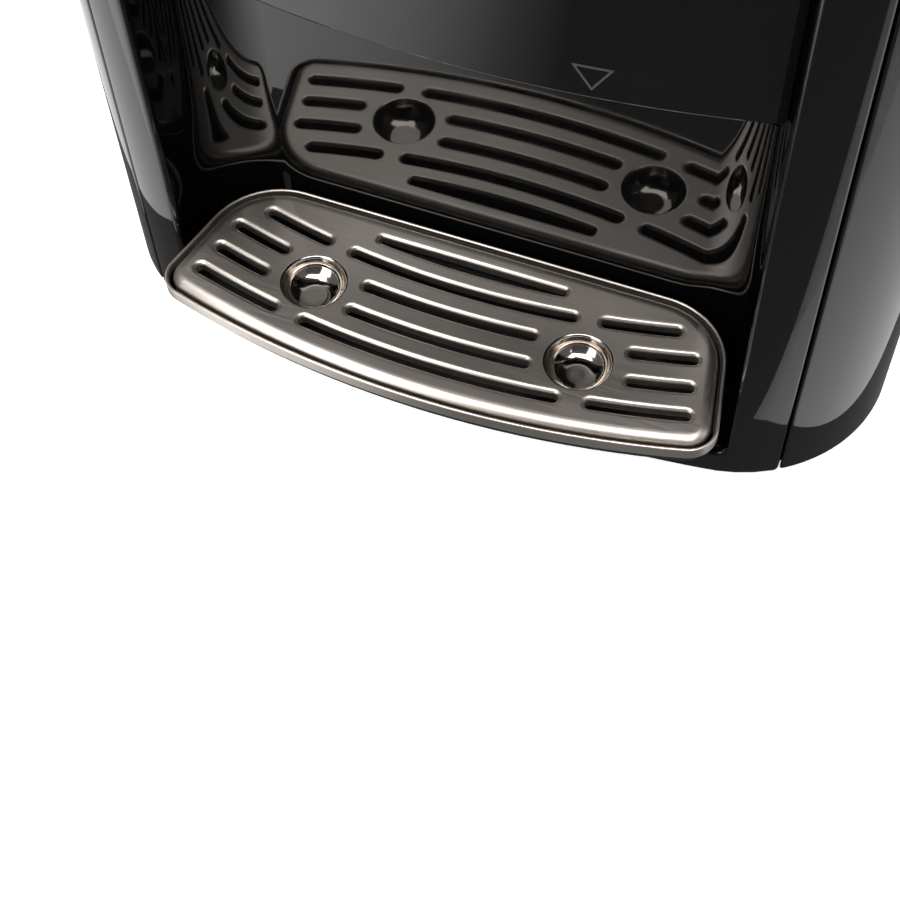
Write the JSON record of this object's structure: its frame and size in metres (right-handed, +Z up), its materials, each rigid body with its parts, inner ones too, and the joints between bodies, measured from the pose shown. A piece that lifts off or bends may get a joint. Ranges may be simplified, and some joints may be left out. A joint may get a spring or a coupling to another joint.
{
  "type": "countertop water dispenser",
  "caption": "Glossy black countertop water dispenser: stainless slotted drip tray in an open alcove, control head with push buttons, hot and cold nozzles.",
  "frame": {"origin": "on the table, under the middle of the whole dispenser's box", "axes": "+Z up, -Y out of the front, +X to the right as seen from the front"},
  "size_m": [0.3, 0.338, 0.47],
  "materials": {
    "gloss_black": "high gloss injection-moulded ABS",
    "panel_black": "smooth satin polycarbonate",
    "steel": "brushed stainless sheet",
    "matte_black": "fine-grained moulded plastic",
    "black_rubber": "matt rubber",
    "zinc_sheet": "satin black powder coat",
    "mark_grey": "pad-printed mark",
    "key_grey": "satin button cap",
    "key_red": "satin red plastic",
    "key_blue": "satin blue plastic",
    "lens": "clear light guide",
    "board_green": "solder-masked board",
    "foam": "expanded foam",
    "copper": "drawn copper tube",
    "machine_black": "black enamel",
    "core_grey": "varnished laminations",
    "valve_white": "moulded nylon",
    "silicone": "milky silicone tube"
  },
  "bodies": {
    "body": {"base_plate": "matte_black", "rubber_feet": "black_rubber", "right_side_panel": "gloss_black", "left_side_panel": "gloss_black", "front_frame": "gloss_black", "top_cover": "gloss_black", "rear_panel": "zinc_sheet", "rear_screws": "zinc_sheet", "alcove_liner": "gloss_black", "fascia_panel": "gloss_black", "outlet_mark": "mark_grey", "head_shell": "gloss_black", "control_panel": "panel_black", "status_lights": "lens", "control_board": "board_green", "hot_nozzle": "matte_black", "cold_nozzle": "matte_black", "hot_valve": "valve_white", "cold_valve": "valve_white", "valve_bracket": "zinc_sheet", "hot_tank": "steel", "hot_tank_jacket": "foam", "heater_element": "core_grey", "cold_tank": "steel", "cold_tank_jacket": "foam", "evaporator_coil": "copper", "compressor": "machine_black", "compressor_grommets": "black_rubber", "suction_line": "copper", "condenser": "machine_black", "fan_frame": "matte_black", "power_board": "board_green", "transformer": "core_grey", "water_inlet": "valve_white", "drain_pipes": "valve_white", "power_inlet": "matte_black", "switch_housings": "matte_black", "hot_tube": "silicone", "cold_tube": "silicone", "supply_tube": "silicone", "feed_tube": "silicone", "hot_drain_tube": "silicone", "cold_drain_tube": "silicone"},
    "tray": {"drip_pan": "matte_black", "tray_rim": "steel"},
    "grille": {"drip_grille": "steel"},
    "hot_key": {"hot_button": "key_red"},
    "lock_key": {"child_lock_button": "key_grey"},
    "cold_key": {"cold_button": "key_blue"},
    "fan": {"fan_rotor": "matte_black"},
    "hot_rocker": {"hot_switch": "key_red"},
    "cold_rocker": {"cold_switch": "key_blue"},
    "hot_cap": {"hot_drain_cap": "key_red"},
    "cold_cap": {"cold_drain_cap": "key_blue"}
  },
  "joints": [
    {"name": "tray_slide", "type": "slide", "parent": "body", "child": "tray", "axis": [0, -1, 0], "range_m": [0, 0.08]},
    {"name": "grille_lift", "type": "slide", "parent": "tray", "child": "grille", "axis": [0, 0, 1], "range_m": [0, 0.03]},
    {"name": "hot_press", "type": "slide", "parent": "body", "child": "hot_key", "axis": [0, 0.9863, -0.165], "range_m": [0, 0.002], "stiffness_N_per_m": 400},
    {"name": "lock_press", "type": "slide", "parent": "body", "child": "lock_key", "axis": [0, 0.9863, -0.165], "range_m": [0, 0.002], "stiffness_N_per_m": 400},
    {"name": "cold_press", "type": "slide", "parent": "body", "child": "cold_key", "axis": [0, 0.9863, -0.165], "range_m": [0, 0.002], "stiffness_N_per_m": 400},
    {"name": "fan_spin", "type": "hinge", "parent": "body", "child": "fan", "pos_m": [-0.07, 0.1423, 0.116], "axis": [0, 1, 0], "continuous": true},
    {"name": "hot_switch_rock", "type": "hinge", "parent": "body", "child": "hot_rocker", "pos_m": [0.095, 0.153, 0.084], "axis": [1, 0, 0], "range_deg": [0, 16]},
    {"name": "cold_switch_rock", "type": "hinge", "parent": "body", "child": "cold_rocker", "pos_m": [0.095, 0.153, 0.114], "axis": [1, 0, 0], "range_deg": [0, 16]},
    {"name": "hot_cap_off", "type": "slide", "parent": "body", "child": "hot_cap", "axis": [0, 1, 0], "range_m": [0, 0.012]},
    {"name": "cold_cap_off", "type": "slide", "parent": "body", "child": "cold_cap", "axis": [0, 1, 0], "range_m": [0, 0.012]}
  ]
}
